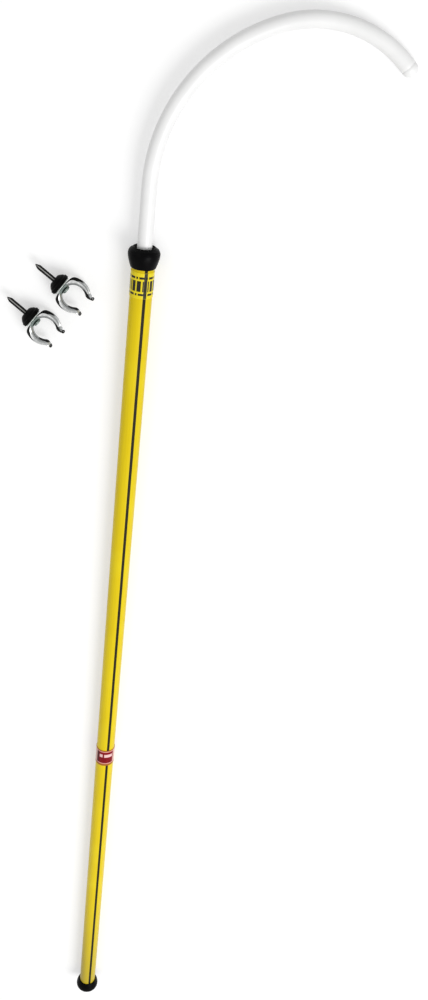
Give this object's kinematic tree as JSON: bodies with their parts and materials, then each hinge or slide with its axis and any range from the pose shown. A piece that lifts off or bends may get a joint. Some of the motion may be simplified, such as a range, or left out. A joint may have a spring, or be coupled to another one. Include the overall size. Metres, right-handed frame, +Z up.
{
  "type": "insulated rescue pole",
  "caption": "Insulated rescue pole: foam-filled tube with a wide sheathed body hook, rubber collar and foot cap, and spring clips for storing it on a wall.",
  "frame": {"origin": "middle of the foot cap's flat end face, on the pole's axis", "axes": "+Y along the pole from its foot to its hook, +X the side that the hook opens to, +Z up from the surface that the pole and its clips lie on"},
  "size_m": [0.5115, 1.9569, 0.045],
  "materials": {
    "yellow_tube": "smooth pultruded glass fibre, yellow, with one black line along it",
    "foam": "rigid closed-cell foam",
    "rating_print": "clear sleeve with plain black marks on yellow",
    "red_print": "dark red sleeve with pale edge lines",
    "black_rubber": "moulded, slight sheen",
    "seal_rubber": "moulded",
    "nylon": "turned",
    "fibre_rod": "glass fibre rod",
    "white_sheath": "white elastomer skin, satin",
    "spring_steel": "bright spring steel strip",
    "zinc_steel": "zinc plated",
    "black_cup": "moulded",
    "black_screw": "blackened steel"
  },
  "bodies": {
    "pole": {"insulating_tube": "yellow_tube", "foam_core": "foam", "rating_sleeve": "rating_print", "band_sleeve": "red_print", "foot_cap": "black_rubber", "foot_plug": "nylon", "head_collar": "black_rubber", "collar_seal": "seal_rubber", "hook_socket": "nylon", "hook_core": "fibre_rod", "cross_pin_upper": "fibre_rod", "cross_pin_lower": "fibre_rod", "hook_sheath": "white_sheath", "hook_tip_cap": "white_sheath"},
    "upper_clip": {"upper_clip_saddle": "spring_steel", "upper_clip_head_washer": "zinc_steel", "upper_clip_face_washer": "zinc_steel", "upper_clip_wall_cup": "black_cup"},
    "upper_screw": {"upper_clip_screw": "black_screw"},
    "upper_left_arm": {"upper_clip_left_arm": "spring_steel"},
    "upper_right_arm": {"upper_clip_right_arm": "spring_steel"},
    "lower_clip": {"lower_clip_saddle": "spring_steel", "lower_clip_head_washer": "zinc_steel", "lower_clip_face_washer": "zinc_steel", "lower_clip_wall_cup": "black_cup"},
    "lower_screw": {"lower_clip_screw": "black_screw"},
    "lower_left_arm": {"lower_clip_left_arm": "spring_steel"},
    "lower_right_arm": {"lower_clip_right_arm": "spring_steel"}
  },
  "joints": [
    {"name": "upper_clip_lift", "type": "slide", "parent": "pole", "child": "upper_clip", "axis": [0, 0, 1], "range_m": [0, 0.15]},
    {"name": "upper_screw_turn", "type": "hinge", "parent": "upper_clip", "child": "upper_screw", "pos_m": [-0.10634, 1.56374, -0.0065], "axis": [0.8192, -0.5736, 0], "continuous": true},
    {"name": "upper_left_arm_flex", "type": "hinge", "parent": "upper_clip", "child": "upper_left_arm", "pos_m": [-0.10692, 1.57489, -0.0065], "axis": [0, 0, 1], "range_deg": [0, 8], "stiffness_Nm_per_rad": 0.2},
    {"name": "upper_right_arm_flex", "type": "hinge", "parent": "upper_clip", "child": "upper_right_arm", "pos_m": [-0.11702, 1.56047, -0.0065], "axis": [0, 0, 1], "range_deg": [-8, 0], "stiffness_Nm_per_rad": 0.2},
    {"name": "lower_clip_lift", "type": "slide", "parent": "pole", "child": "lower_clip", "axis": [0, 0, 1], "range_m": [0, 0.15]},
    {"name": "lower_screw_turn", "type": "hinge", "parent": "lower_clip", "child": "lower_screw", "pos_m": [-0.1461, 1.50994, -0.0065], "axis": [0.809, -0.5878, 0], "continuous": true},
    {"name": "lower_left_arm_flex", "type": "hinge", "parent": "lower_clip", "child": "lower_left_arm", "pos_m": [-0.14649, 1.5211, -0.0065], "axis": [0, 0, 1], "range_deg": [0, 8], "stiffness_Nm_per_rad": 0.2},
    {"name": "lower_right_arm_flex", "type": "hinge", "parent": "lower_clip", "child": "lower_right_arm", "pos_m": [-0.15683, 1.50686, -0.0065], "axis": [0, 0, 1], "range_deg": [-8, 0], "stiffness_Nm_per_rad": 0.2}
  ],
  "couplings": [
    {"joint": "upper_right_arm_flex", "follows": "upper_left_arm_flex", "ratio": -1},
    {"joint": "lower_right_arm_flex", "follows": "lower_left_arm_flex", "ratio": -1}
  ]
}
